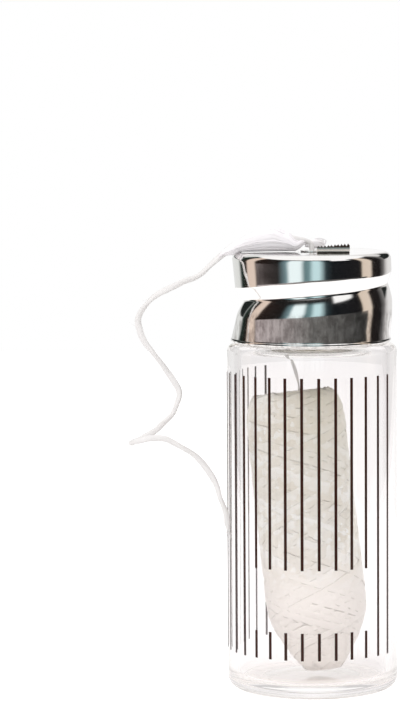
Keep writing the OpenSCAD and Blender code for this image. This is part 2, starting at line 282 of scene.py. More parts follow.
def tubeGlass():
    # Soda-lime tube glass, drawn and flame-worked: clear, very smooth, with faint draw lines in its wall
    material, tree = newMaterial("drawnTubeGlass")
    place = addNode(tree, "TexCoord").outputs["Object"]
    drawn = addNode(tree, "Mapping", {"Scale": (1, 1, 0.12), "Vector": place})
    ripple = addNode(tree, "TexNoise", {"Scale": 160.0, "Vector": drawn})
    bump = addNode(tree, "Bump", {"Strength": 0.02, "Distance": 0.05 * mm, "Height": ripple})
    glass = addNode(tree, "BsdfPrincipled", {
        "Base Color": "#FEFEFE", "Roughness": 0.0, "IOR": 1.5, "Transmission Weight": 1.0, "Normal": bump})
    clear = addNode(tree, "BsdfTransparent", {"Color": "#FBFAF9"})
    rays = addNode(tree, "LightPath").outputs
    # Light for matt things and their shadows goes straight through
    soft = addNode(tree, "Math", {
        "operation": "MAXIMUM", 0: rays["Is Shadow Ray"], 1: rays["Is Diffuse Ray"]})
    # So does a ray that the wall has mirrored twice, or thick glass turns black
    tired = addNode(tree, "Math", {"operation": "GREATER_THAN", 0: rays["Glossy Depth"], 1: 1.5})
    through = addNode(tree, "Math", {"operation": "MAXIMUM", 0: soft, 1: tired})
    both = addNode(tree, "MixShader", {0: through, 1: glass, 2: clear})
    return finishMaterial(material, both)


def firedInk():
    # Dark brown ceramic ink, screen-printed and fired: half-gloss, slightly uneven where the screen left less
    material, tree = newMaterial("firedScreenInk")
    place = addNode(tree, "TexCoord").outputs["Object"]
    grain = addNode(tree, "TexNoise", {"Scale": 5200.0, "Detail": 3.0, "Vector": place})
    cloud = addNode(tree, "TexNoise", {"Scale": 320.0, "Vector": place})
    colour = addNode(tree, "Mix", {"Factor": cloud, toneA: "#280E08", toneB: "#381B13"})
    rough = addNode(tree, "MapRange", {"To Min": 0.16, "To Max": 0.3, "Value": grain})
    bump = addNode(tree, "Bump", {"Strength": 0.15, "Distance": 0.01 * mm, "Height": grain})
    ink = addNode(tree, "BsdfPrincipled", {
        "IOR": 1.33, "Base Color": colour, "Roughness": rough, "Normal": bump})
    return finishMaterial(material, ink)


def polishedSteel():
    # Nickel-bright pressed steel sheet, polished: near mirror, with hairline scratches and faint hand marks
    material, tree = newMaterial("polishedPressedSteel")
    place = addNode(tree, "TexCoord").outputs["Object"]
    smear = addNode(tree, "TexNoise", {"Scale": 210.0, "Detail": 4.0, "Distortion": 0.6, "Vector": place})
    rough = addNode(tree, "MapRange", {"To Min": 0.07, "To Max": 0.12, "Value": smear})
    # The skirt is worn by thumbs: stains, and slow dents in the sheet, only below the thread
    high = addNode(tree, "SeparateXYZ", {"Vector": place}).outputs
    low = addNode(tree, "MapRange", {
        "interpolation_type": "SMOOTHSTEP", "From Min": 0.0518, "From Max": 0.0508, "Value": high["Z"]})
    tall = addNode(tree, "Mapping", {"Scale": (1, 1, 0.5), "Vector": place})
    blots = addNode(tree, "TexNoise", {"Scale": 1100.0, "Detail": 3.0, "Roughness": 0.6, "Vector": tall})
    stainAndPaintedLight = addNode(tree, "MapRange", {"From Min": 0.42, "From Max": 0.66, "To Max": 0.55, "Value": blots})
    worn = addNode(tree, "Math", {"operation": "MULTIPLY", 0: low, 1: stainAndPaintedLight})
    colour = addNode(tree, "Mix", {"Factor": worn, toneA: "#FAF8F6", toneB: "#8E8481"})
    dents = addNode(tree, "TexNoise", {"Scale": 640.0, "Vector": place})
    dented = addNode(tree, "Math", {"operation": "MULTIPLY", 0: low, 1: dents})
    slow = addNode(tree, "TexNoise", {"Scale": 230.0, "Detail": 1.0, "Vector": place})
    lines = addNode(tree, "Mapping", {"Scale": (1, 1, 14), "Vector": place})
    hair = addNode(tree, "TexNoise", {"Scale": 900.0, "Detail": 4.0, "Roughness": 0.7, "Vector": lines})
    drawn = addNode(tree, "Bump", {"Distance": 0.032 * mm, "Height": slow})
    wave = addNode(tree, "Bump", {"Distance": 0.008 * mm, "Height": dented, "Normal": drawn})
    bump = addNode(tree, "Bump", {"Strength": 0.05, "Distance": 0.004 * mm, "Height": hair, "Normal": wave})
    steel = addNode(tree, "BsdfPrincipled", {
        "Metallic": 1.0, "Base Color": colour, "Roughness": rough, "Normal": bump})
    return finishMaterial(material, steel)


def whiteLacquer():
    # Stoved epoxy lacquer inside the cap: smooth white with a low gloss
    material, tree = newMaterial("stovedWhiteLacquer")
    place = addNode(tree, "TexCoord").outputs["Object"]
    cloud = addNode(tree, "TexNoise", {"Scale": 260.0, "Detail": 3.0, "Vector": place})
    colour = addNode(tree, "Mix", {"Factor": cloud, toneA: "#EFEDEA", toneB: "#FBFAF9"})
    bump = addNode(tree, "Bump", {"Strength": 0.1, "Distance": 0.01 * mm, "Height": cloud})
    coat = addNode(tree, "BsdfPrincipled", {
        "Roughness": 0.3, "IOR": 1.5, "Base Color": colour, "Normal": bump})
    return finishMaterial(material, coat)


def bladeSteel():
    # Spring-steel strip, brushed across: satin grey, with its toothed top painted dark for the shade and dark
    # reflections there
    material, tree = newMaterial("stampedBladeSteel")
    place = addNode(tree, "TexCoord").outputs["Object"]
    lines = addNode(tree, "Mapping", {"Scale": (0.08, 1, 1), "Vector": place})
    brush = addNode(tree, "TexNoise", {"Scale": 9000.0, "Detail": 3.0, "Vector": lines})
    high = addNode(tree, "SeparateXYZ", {"Vector": place}).outputs
    # Painted shade and reflection: the toothed top is coloured dark brown
    top = addNode(tree, "MapRange", {"From Min": 0.0598, "From Max": 0.06005, "Value": high["Z"]})
    colour = addNode(tree, "Mix", {"Factor": top, toneA: "#E6DFDA", toneB: "#5A4640"})
    rough = addNode(tree, "MapRange", {"To Min": 0.2, "To Max": 0.38, "Value": brush})
    bump = addNode(tree, "Bump", {"Strength": 0.2, "Distance": 0.004 * mm, "Height": brush})
    steel = addNode(tree, "BsdfPrincipled", {
        "Metallic": 1.0, "Base Color": colour, "Roughness": rough, "Normal": bump})
    return finishMaterial(material, steel)


def foamLiner():
    # Expanded polyethylene disc, die-cut: matt white with fine closed cells
    material, tree = newMaterial("dieCutPolyetheneFoam")
    place = addNode(tree, "TexCoord").outputs["Object"]
    cells = addNode(tree, "TexVoronoi", {"Scale": 4200.0, "Vector": place})
    colour = addNode(tree, "Mix", {"Factor": cells, toneA: "#E6E6E2", toneB: "#F7F7F5"})
    bump = addNode(tree, "Bump", {"Strength": 0.4, "Distance": 0.03 * mm, "Height": cells})
    foam = addNode(tree, "BsdfPrincipled", {
        "Roughness": 0.7, "IOR": 1.5, "Base Color": colour, "Normal": bump})
    return finishMaterial(material, foam)


def silk(name, tones, fibre, sheen, paintedShadeAndLight=None):
    # Waxed silk floss, thrown without weaving: fine lengthwise fibres, a soft sheen and small tone changes
    material, tree = newMaterial(name)
    along = addNode(tree, "UVMap", {"uv_map": "strand"})
    stretched = addNode(tree, "Mapping", {
        "Scale": (fibre, 0.5, 1), "Rotation": (0, 0, 0.12), "Vector": along})
    hairs = addNode(tree, "TexNoise", {"Scale": 3.0, "Detail": 3.0, "Roughness": 0.6, "Vector": stretched})
    place = addNode(tree, "TexCoord").outputs["Object"]
    # A thread's own tint, broken up by slow clouds, leads from the first tone to the second
    tint = addNode(tree, "Attribute", {"attribute_name": "tint"}).outputs["Fac"]
    cloud = addNode(tree, "TexNoise", {"Scale": 130.0, "Vector": place})
    clouds = addNode(tree, "MapRange", {"From Min": 0.35, "From Max": 0.65, "To Min": 0.55, "Value": cloud})
    share = addNode(tree, "Math", {"operation": "MULTIPLY", 0: clouds, 1: tint})
    tone = addNode(tree, "Mix", {"Factor": share, toneA: tones[0], toneB: tones[1]})
    if paintedShadeAndLight:
        # Painted shade: darker towards the top, where the cap shades it, and towards the right, away from the
        # lamp; painted light: a paler foot
        high = addNode(tree, "SeparateXYZ", {"Vector": place}).outputs
        # Painted shade mask: high up and to the right
        upper = addNode(tree, "MapRange", {"From Min": 0.026, "From Max": 0.041, "Value": high["Z"]})
        right = addNode(tree, "MapRange", {
            "From Min": -0.006, "From Max": 0.001, "To Min": 0.2, "Value": high["X"]})
        paintedTopShade = addNode(tree, "Math", {"operation": "MULTIPLY", 0: upper, 1: right})
        # Painted light: the foot is coloured paler for the stronger light it gets
        foot = addNode(tree, "MapRange", {"From Min": 0.021, "From Max": 0.013, "Value": high["Z"]})
        for stainAndPaintedLight, where in zip(paintedShadeAndLight, (paintedTopShade, foot)):
            tone = addNode(tree, "Mix", {"Factor": where, toneA: tone, toneB: stainAndPaintedLight})
    lines = addNode(tree, "MapRange", {"From Min": 0.3, "From Max": 0.7, "To Min": 0.93, "Value": hairs})
    colour = addNode(tree, "VectorMath", {"operation": "SCALE", 0: tone, "Scale": lines})
    bump = addNode(tree, "Bump", {"Strength": 0.5, "Distance": 0.03 * mm, "Height": hairs})
    cloth = addNode(tree, "BsdfPrincipled", {"Roughness": 0.45, "IOR": 1.5, "Sheen Weight": sheen,
                                             "Sheen Roughness": 0.4, "Base Color": colour, "Normal": bump})
    return finishMaterial(material, cloth)


# The outer strand, a free cord
tail = {
    "width": 0.88,  # a flattish, lightly waxed floss
    "thickness": 0.66,
    "twistLength": 17.0,  # mm for one turn of the flat strand
    "cuts": 6,  # steps from one point of the route to the next
    "sides": 18,
    "tint": 0.15,  # the silk's tones mix by this, 0 to 1
    "tuftFrom": 4,  # the points of the route between which it lies loose, as a tuft
    "tuftTo": 10,
    "tuftWidth": 1.25,  # half of it, in depth
    "tuftTop": ((-0.4, 60.3), (-1.6, 60.5), (-3.3, 61.9), (-4.9, 62.7), (-6.7, 62.4), (-8.3, 61.7),
                (-9.8, 60.9), (-11.5, 59.9)),  # its outline over the cap, x and z
    "tuftPlies": 22,
    "kinkFrom": 11,  # the point of the route from which the strand is kinked
    "kink": 0.22,
    "loops": 8,  # loose plies at the cutter's side
    "hairs": 46,
    "brush": 12,  # hairs at the torn end
    "seed": 7,
}
tailRoute = [Vector(p) * mm for p in (
    (0, 0, 50.5), (0, 0, 53.5), (0, 0, 57), (0, 0, 59.9), (-0.7, -0.1, 60.6), (-2.2, -0.3, 60.9),
    (-4, -0.7, 61.2), (-6, -1.1, 61.3), (-8, -1.6, 61.1), (-10, -2, 60.4), (-11.8, -2.5, 59.1),
    (-13.7, -3, 57.5), (-15.5, -3, 56.1), (-17.7, -3, 55.2), (-20, -3, 54.1), (-22.1, -3, 52.5),
    (-23.2, -3, 50.4), (-22.9, -3, 48.3), (-21.7, -3, 46.1), (-19.9, -3, 44.1), (-18.5, -3, 41.9),
    (-17.9, -3, 39.8), (-18.7, -3, 37.6), (-20.4, -3, 35.9), (-22.1, -3.1, 34.7), (-23.6, -3.7, 34),
    (-24.2, -5, 33.9), (-23.5, -6.3, 34.3), (-21.8, -6.9, 34.7), (-19.8, -6.8, 34.6),
    (-17.8, -6.6, 33.8), (-15.7, -6.4, 32.4), (-14.1, -6.2, 30.5), (-12.9, -6.2, 28.3),
    (-12.1, -6.3, 26), (-11.6, -6.4, 24), (-11.4, -6.5, 22.2))]


def lineLength(line):
    return sum((b - a).length for a, b in zip(line, line[1:]))


def strandRings(line, settings, start=0.0, narrow=lambda s: 1.0):
    # Rings of a flat floss whose width, thickness and turn wander a little along it
    along, across = lineFrames(line)
    fluted = lambda w: 1 + 0.035 * cos(5 * w)
    rings, gone = [], 0.0
    for i, p in enumerate(line):
        if i:
            gone += (p - line[i - 1]).length / mm
        s = start + gone
        wander = waver(s * 0.35, 3.1, 0)
        lump = waver(s * 0.9, 8.4, 0)
        wide = settings["width"] / 2 * mm * (1 + 0.12 * wander + 0.07 * lump) * narrow(s)
        thick = settings["thickness"] / 2 * mm * (1 - 0.1 * wander + 0.08 * lump) * narrow(s)
        turn = fullTurn * s / settings["twistLength"] + 0.5 * wander
        beside = along[i].cross(across[i])
        rings.append(section(p, across[i], beside, wide, thick, settings["sides"], turn, fluted))
    return rings


def addHair(tubes, rng, root, along, side, length, radius, tint):
    # One loose filament that leaves the strand and curls away
    curl = Vector([rng.uniform(-1, 1) for k in range(3)])
    steps = 6
    points = []
    for k in range(steps + 1):
        u = k / steps
        points.append(root + along * (length * u) + side * (length * 0.45 * u * u)
                      + curl * (length * 0.22 * u * u * u))
    tubes.addPly(points, [radius * (1 - 0.6 * k / steps) for k in range(steps + 1)], 4, tint, 0.2)


def makeTail():
    t = tail
    rng = random.Random(t["seed"])
    line = easedLine(tailRoute, t["cuts"])
    for i in range(t["kinkFrom"] * t["cuts"], len(line)):
        kinks = [waver(i * 0.16, 2.3, k * 5.0) * t["kink"] * mm for k in range(3)]
        line[i] = line[i] + Vector(kinks)
    total = lineLength(line) / mm
    tubes = TubeMesh()
    ending = lambda s: min(1.0, 0.35 + 0.65 * smooth((total - s) / 1.2))
    tubes.add(strandRings(line, t, 0, ending), t["tint"], 2.0)
    along, across = lineFrames(line)
    # Beside the eyelet the silk lies loose, as one soft tuft with plies drawn over it
    low, high = t["tuftFrom"] * t["cuts"], t["tuftTo"] * t["cuts"] + 2
    thin = 0.3

    def crown(x):
        # The tuft's top over the cap
        marks = t["tuftTop"]
        for (x0, z0), (x1, z1) in zip(marks, marks[1:]):
            if x <= x0 and x >= x1:
                return mix(z0, z1, smooth((x0 - x) / (x0 - x1)))
        return marks[0][1] if x > marks[0][0] else marks[-1][1]

    def tuft(i):
        # Its middle at a step of the line, its two directions across, and half its size in each
        u = (i - low) / (high - low)
        p = line[i] / mm
        top = crown(p.x)
        bottom = max(p.z - 2.1, mix(59.36, 58.9, smooth((-p.x - 9.4) / 1.4)))
        ends = smooth(u / 0.16) * smooth((1 - u) / 0.12)
        tall = max(thin, mix(thin, (top - bottom) / 2, ends))
        wide = mix(thin, t["tuftWidth"], ends) * (1 + 0.15 * waver(u * 5, 4.4, 0))
        centre = Vector((p.x, p.y, mix(p.z, (top + bottom) / 2, ends)))
        return centre * mm, Vector((0, 0, 1)), Vector((0.2, 0.98, 0)), tall * mm, wide * mm, u

    folded = lambda w: 1 + 0.07 * waver(2.6 * cos(w), 2.6 * sin(w), u * 1.6) + 0.012 * cos(19 * w + 6 * u)
    rings = []
    for i in range(low, high + 1):
        centre, rise, beside, tall, wide, u = tuft(i)
        rings.append(section(centre, rise, beside, tall, wide, 72, shape=folded))
    tubes.add(rings, 1.0, 9.0)
    for k in range(t["tuftPlies"]):
        w = fullTurn * k / t["tuftPlies"] + rng.uniform(-0.2, 0.2)
        swing, out = rng.uniform(-0.7, 0.7), rng.uniform(0.97, 1.01)
        points = []
        for i in range(low, high + 1, 2):
            centre, rise, beside, tall, wide, u = tuft(i)
            a = w + swing * (u - 0.5) + 0.12 * waver(u * 5, k * 1.9, 0)
            points.append(centre + rise * (tall * out * cos(a)) + beside * (wide * out * sin(a)))
        tubes.addPly(points, [rng.uniform(0.04, 0.08) * mm] * len(points), 6, 0.9, 0.5)
    # A smaller lobe of it leans over to the cutter's side
    folded = lambda w: 1 + 0.1 * waver(2 * cos(w), 2 * sin(w), 3 + u) + 0.015 * cos(11 * w)
    rings, last = [], 14
    for i in range(last + 1):
        u = i / last
        size = sin(pi * mix(0.04, 0.96, u)) ** 0.5
        centre = Vector((mix(-0.9, 1.75, u), mix(0.1, 0.7, u), 59.98 + 0.3 * size)) * mm
        tall, wide = 0.62 * size * mm, 0.5 * size * mm
        rings.append(section(centre, Vector((0, 0, 1)), Vector((0, 1, 0)), tall, wide, 40, shape=folded))
    tubes.add(rings, 0.9, 4.0)
    for k in range(t["loops"]):
        reach, lift, back = rng.uniform(1.3, 2.0), rng.uniform(0.3, 1.2), rng.uniform(0.2, 0.9)
        bow = [(-0.6, 0.1, 60.3), (reach * 0.4, back * 0.6, 60.1 + lift * 0.8),
               (reach, back, 59.9 + lift * 0.75), (reach * 0.8, back, 59.7 + lift * 0.2),
               (0.2, back * 0.3, 59.6)]
        points = easedLine([Vector(p) * mm for p in bow], 5)
        tubes.addPly(points, [rng.uniform(0.03, 0.06) * mm] * len(points), 6, 0.9, 0.5)
    for k in range(t["hairs"]):
        i = rng.randrange(low, len(line) - 2)
        w = rng.uniform(0, fullTurn)
        side = across[i] * cos(w) + along[i].cross(across[i]) * sin(w)
        way = along[i] * rng.choice((-1, 1))
        length = rng.uniform(0.7, 1.9) * mm
        addHair(tubes, rng, line[i] + side * 0.22 * mm, way, side, length, 0.018 * mm, 0.2)
    # The torn end opens into a short brush
    for k in range(t["brush"]):
        w = fullTurn * k / t["brush"] + rng.uniform(-0.3, 0.3)
        side = across[-1] * cos(w) + along[-1].cross(across[-1]) * sin(w)
        length = rng.uniform(0.6, 1.3) * mm
        addHair(tubes, rng, line[-2] + side * 0.12 * mm, along[-1], side, length, 0.035 * mm, 0.3)
    return tubes.made("flossTail"), line


silkWhite = silk("waxedSilkFloss", ("#E3E0DE", "#FFFBFE"), 26.0, 0.15)
tailPiece, tailLine = makeTail()
dressed(tailPiece, silkWhite, "strand", "silk_floss", "floss_tail")
print("outer strand laid,", round(lineLength(tailLine) / mm, 1), "mm")


# The strand inside the vial
lead = {"width": 0.5, "thickness": 0.22, "twistLength": 9.0, "cuts": 6, "sides": 14}
refill = {
    "height": 38.5, "radius": 6.85, "taper": 10.0, "crown": 4.5, "footRadius": 2.2, "topRadius": 4.6,
    "tilt": 8.48, "lean": 140.0, "cross": 14.0, "crossZ": 16.07,  # where its axis crosses the vial's
    "passes": 52, "turnsInPass": 2.45, "ringsInTurn": 26, "footGap": 1.1, "topGap": 0.75, "seed": 5,
    "strandWidth": 1.35, "strandThickness": 0.2, "sides": 8,
    "firstSunk": 0.17, "lastSunk": 0.09, "coreSunk": 0.11,  # how deep the passes and the core lie
    "ridge": 0.025, "coreSteps": 72,
}


def inVial(p):
    # A point of the upright refill, in mm, moved to where it leans in the vial
    tilt, lean = radians(refill["tilt"]), radians(refill["lean"])
    s = p[2] - refill["cross"]
    x, z = p[0] * cos(tilt) + s * sin(tilt), s * cos(tilt) - p[0] * sin(tilt)
    return Vector((x * cos(lean) - p[1] * sin(lean), x * sin(lean) + p[1] * cos(lean),
                   refill["crossZ"] + z))


def makeLead():
    route = [inVial((-1.3, 0, 38.3)), inVial((-1.3, 0, 39.5))] + [Vector(p) for p in (
        (-2.3, 1.8, 43), (-2.9, 1.8, 44.8), (-3.4, 1.5, 46.4), (-3.1, 1, 47.6), (-2, 0.5, 48.6),
        (-0.8, 0.1, 49.2), (0, 0, 49.8), (0, 0, 50.5))]
    line = easedLine([p * mm for p in route], lead["cuts"])
    tubes = TubeMesh()
    tubes.add(strandRings(line, lead, 4.0), 0.5, 1.8)
    return tubes.made("flossLead")


leadPiece = makeLead()
dressed(leadPiece, silkWhite, None, "silk_floss", "floss_lead")
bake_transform(leadPiece)
print("inner strand laid")


# The wound refill
def refillRadius(s):
    f = refill
    foot, wide, top = f["footRadius"], f["radius"], f["topRadius"]
    if s < f["taper"]:
        return foot + (wide - foot) * sin(pi / 2 * s / f["taper"])
    if s < f["height"] - f["crown"]:
        return wide
    u = min(1.0, (s - f["height"] + f["crown"]) / f["crown"])
    return top + (wide - top) * sqrt(max(0, 1 - u * u))


def makeRefill():
    f = refill
    rng = random.Random(f["seed"])
    tubes = TubeMesh()
    low, high = f["footGap"], f["height"] - f["topGap"]
    steps, overSteps = int(f["turnsInPass"] * f["ringsInTurn"]), 10
    swept = fullTurn * f["turnsInPass"]
    angle = 0.0
    for k in range(f["passes"]):
        layer = k / (f["passes"] - 1)
        sunk = mix(f["firstSunk"], f["lastSunk"], layer)
        wide = f["strandWidth"] / 2 * rng.uniform(0.7, 1.3)
        tint = rng.uniform(0.0, 1.0)
        line, outward = [], []
        swing = rng.uniform(0.6, 1.5)
        first = rng.uniform(0, fullTurn)
        for i in range(steps + 1):
            u = i / steps
            t = u if k % 2 == 0 else 1 - u
            # The strand climbs slower near both ends, where it turns back
            eased = t - 0.06 * sin(fullTurn * t)
            s = mix(low, high, eased) + swing * sin(first + 7 * u) * sin(pi * u) * 0.35
            r = refillRadius(s) - sunk
            slope = (refillRadius(s + 0.15) - refillRadius(s - 0.15)) / 0.3
            a = angle + swept * u
            line.append(Vector((r * cos(a), r * sin(a), s)))
            outward.append(Vector((cos(a), sin(a), -slope)).normalized())
        # Over the end the strand runs on as a chord to where the next pass starts
        nextAngle = angle + swept + rng.uniform(1.9, 2.9)
        up = 1 if k % 2 == 0 else -1
        rim = line[-1]
        nextRim = Vector((cos(nextAngle), sin(nextAngle), 0)) * Vector((rim.x, rim.y)).length
        for i in range(1, overSteps):
            u = i / overSteps
            flat = Vector((rim.x, rim.y, 0)).lerp(nextRim, u)
            bulge = sin(pi * u)
            z = rim.z + (0.45 if up > 0 else -0.55) * bulge ** 0.6 * mix(0.7, 1.0, layer)
            line.append(Vector((flat.x, flat.y, z)))
            away = flat.normalized() if flat.length > 0.01 else Vector((0, 0, 0))
            outward.append((away * (1 - bulge) * 0.5 + Vector((0, 0, up)) * (bulge + 0.2)).normalized())
        angle = nextAngle
        rings = []
        for i, p in enumerate(line):
            t = (line[min(i + 1, len(line) - 1)] - line[max(i - 1, 0)]).normalized()
            n = (outward[i] - outward[i].dot(t) * t).normalized()
            w = wide * (1 + 0.15 * waver(i * 0.11, k * 3.3, 0))
            turn = 0.25 * waver(i * 0.07, k * 5.1, 2.0)
            ring = section(p, t.cross(n), n, w, f["strandThickness"] / 2, f["sides"], turn)
            rings.append([inVial(q) * mm for q in ring])
        tubes.add(rings, tint, 1.6)
    return tubes.made("refillWinding")


def makeRefillCore():
    # The turns underneath, as one wound body with low ridges
    f = refill
    foot, top, steps = 0.35, f["height"] - 0.3, 60
    outline = [(0.0, foot)]
    for i in range(steps + 1):
        s = mix(foot, top, i / steps)
        outline.append((max(0.2, refillRadius(s) - f["coreSunk"]), s))
    outline.append((0.0, top))
    core = turned("refillCore", outline, f["coreSteps"])

    def wound(p):
        a = atan2(p.y, p.x)
        r = hypot(p.x, p.y)
        ridge = f["ridge"] * sin(18 * a + p.z * 2.2) * sin(18 * a - p.z * 2.2) if r > 1 else 0
        k = (r + ridge) / r if r > 1e-6 else 1
        return inVial((p.x * k, p.y * k, p.z))

    movedVertices(core, wound)
    uv = core.data.uv_layers.new(name="strand")
    for loop in core.data.loops:
        co = core.data.vertices[loop.vertex_index].co / mm
        uv.data[loop.index].uv = (co.x * 0.7 + co.y * 0.7, co.z)
    tint = core.data.attributes.new("tint", "FLOAT", "POINT")
    tint.data.foreach_set("value", [0.9] * len(core.data.vertices))
    return shadedSmooth(core, 60)


# The last two tones are painted shade at the top and right and painted light at the foot
silkWound = silk("woundSilkFloss", ("#FFFEFC", "#EBE4D8"), 16.0, 0.2, paintedShadeAndLight=("#E4DECF", "#F5EEEA"))
windingPiece = makeRefill()
dressed(windingPiece, silkWound, "vial", "wound_silk", "refill_winding")
dressed(makeRefillCore(), silkWound, "vial", "wound_silk", "refill_core")
print("refill wound,", len(windingPiece.data.polygons), "faces")


# The vial
vial = {
    "radius": 11.5, "height": 58.0, "wall": 1.4, "floor": 1.6, "baseRound": 1.5, "puntDepth": 0.4,
    "puntRadius": 6.4, "shoulder": 1.2, "innerShoulder": 0.6, "shoulderWall": 0.8, "shoulderZ": 46.9,
    "neckRadius": 8.25, "neckWall": 1.15, "neckFillet": 0.5, "floorFillet": 1.2, "steps": 160,
    "pitch": 5.0, "threadHeight": 1.05, "threadWidth": 1.9, "threadFade": 35.0,
}
threadTop = vial["height"] - vial["threadWidth"] / 2 - 0.1


def makeVial():
    v = vial
    radius, height, neck, floor = v["radius"], v["height"], v["neckRadius"], v["floor"]
    foot, punt, fillet, corner = v["baseRound"], v["puntDepth"], v["neckFillet"], v["floorFillet"]
    shoulder, shoulderZ, inner = v["shoulder"], v["shoulderZ"], v["innerShoulder"]
    bore, mouth, lip = radius - v["wall"], neck - v["neckWall"], v["neckWall"] / 2 - 0.05
    innerZ = shoulderZ - v["shoulderWall"]
    outline = [(0, punt), (2.4, punt), (4.4, punt - 0.02), (5.4, punt - 0.12), (6.0, 0.1),
               (v["puntRadius"], 0.02), (6.9, 0)]
    outline += arc((radius - foot, foot), foot, -90, 0, 12)
    outline += [(radius, z) for z in range(6, 44, 6)]
    outline += arc((radius - shoulder, shoulderZ - shoulder), shoulder, 0, 90, 12)
    outline += arc((neck + fillet, shoulderZ + fillet), fillet, -90, -180, 6)
    outline += [(neck, mix(shoulderZ + 0.7, height - 0.7, i / 72)) for i in range(73)]
    outline += arc((neck - lip, height - lip), lip, 0, 90, 6)
    outline += arc((mouth + lip, height - lip), lip, 90, 180, 6)
    outline += [(mouth, 54), (mouth, 50)]
    outline += arc((mouth + fillet, innerZ + fillet), fillet, 180, 270, 6)
    outline += arc((bore - inner, innerZ - inner), inner, 90, 0, 10)
    outline += [(bore, z) for z in range(42, 3, -6)]
    outline += arc((bore - corner, floor + corner), corner, 0, -90, 10)
    outline += [(6, floor), (3, floor + 0.03), (0, floor + 0.05)]
    piece = turned("vialGlass", outline, v["steps"])

    def threaded(p):
        # One rounded turn of thread, raised out of the neck
        r = hypot(p.x, p.y)
        if r < neck - 0.02 or not shoulderZ + 0.6 < p.z < height - 0.6:
            return p
        a = degrees(atan2(p.x, -p.y)) % 360 - 360
        out = 0.0
        for turn in (a, a + 360):
            rise = smooth(-turn / v["threadFade"]) * smooth((turn + 360) / v["threadFade"])
            off = 2 * (p.z - threadTop - v["pitch"] * turn / 360) / v["threadWidth"]
            if -360 <= turn <= 0 and abs(off) < 1:
                out = max(out, v["threadHeight"] * rise * (1 - off * off) ** 1.3)
        k = (r + out) / r
        return Vector((p.x * k, p.y * k, p.z))

    movedVertices(piece, threaded)
    return shadedSmooth(piece, 50)


def recoated(name, material):
    # A CAD node keeps its mesh and gets the material
    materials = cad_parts[name].data.materials
    materials.clear()
    materials.append(material)


vialPiece = makeVial()
dressed(vialPiece, tubeGlass(), "vial", "clear_glass", "glass_vial")
recoated("printed_stripes", firedInk())
print("vial blown,", len(vialPiece.data.polygons), "faces")


# The cap
cap = {
    "radius": 10.85, "top": 59.24, "sheet": 0.35, "edge": 1.0, "hemZ": 47.35, "hemRoll": 0.6,
    "skirtDraw": 0.27, "drawZ": 51.55, "wallTaper": 0.035, "taperZ": 54.2, "holeRadius": 1.2,
    "steps": 200, "rows": 110,
    "grooveFull": 2.0, "grooveZ": 53.8, "grooveStart": -200.0, "grooveLeadIn": 70.0, "grooveEnd": 160.0,
    "grooveDepths": (1.05, 0.85, 0.62),  # where the wall leans in most, at the front and at the right
    "leanAngle": -95.0, "leanDepth": 0.95,  # where the wall above the groove leans in, and how far
    "upperHeight": 2.0, "lowerHeight": 2.4,
}


def grooveParts(a):
    # How deep the leaning wall and the pressed groove are at an angle, in mm
    c = cap
    left, front, right = c["grooveDepths"]
    lean = c["leanDepth"] * max(0.0, 1 - abs(a - c["leanAngle"]) / 95) ** 2.5
    if a < c["leanAngle"]:
        pressed = c["grooveFull"] - lean
    elif a < 0:
        pressed = mix(left, front, smooth(1 - a / c["leanAngle"]))
    elif a < 90:
        pressed = mix(front, right, smooth(a / 90))
    else:
        pressed = right * smooth((c["grooveEnd"] - a) / 70)
    start = smooth((a - c["grooveStart"]) / c["grooveLeadIn"])
    return lean * start, pressed * start


def grooveCut(a, z):
    # An upper flank that faces the table, a gentler one below, as a rolling wheel leaves them
    c = cap
    if not c["grooveStart"] < a < c["grooveEnd"]:
        return 0.0
    lean, pressed = grooveParts(a)
    bottom = c["grooveZ"] + vial["pitch"] * a / 360
    upper = c["upperHeight"] - 0.35 * min(1.0, abs(a) / 60) + 0.8 * smooth((c["leanAngle"] - a) / 60)
    up = z - bottom
    if up > 0:
        above = max(0.6, c["top"] - c["edge"] - bottom)
        return pressed * max(0.0, 1 - up / upper) + lean * max(0.0, 1 - up / above)
    side = smooth((-a - 45) / 45)
    lower = mix(c["lowerHeight"], 2.0, side)
    slow = 0.4 * side * (lean + pressed)
    fast = lean + pressed - slow
    u = min(1.0, -up / lower)
    rest = bottom - lower - c["hemZ"] - 0.3
    return fast * (1 - 0.5 * u - 0.5 * (2 * u - u * u)) + slow * min(1.0, 1 - (-up - lower) / rest)


def wallRadius(a, z):
    # The outside of the sheet, its presses rounded over a third of a millimetre
    c = cap
    drawn = smooth((c["drawZ"] - z) / (c["drawZ"] - c["hemZ"]))
    draw = c["skirtDraw"] / 2 * (1 + sin(radians(a))) * drawn
    taper = c["wallTaper"] * max(0.0, z - c["taperZ"])
    offsets = (-0.16, -0.08, 0.0, 0.08, 0.16)
    cuts = [max(grooveCut(a + 360 * k, z + d) for k in (-1, 0, 1)) for d in offsets]
    return c["radius"] - draw - taper - sum(cuts) / len(offsets)


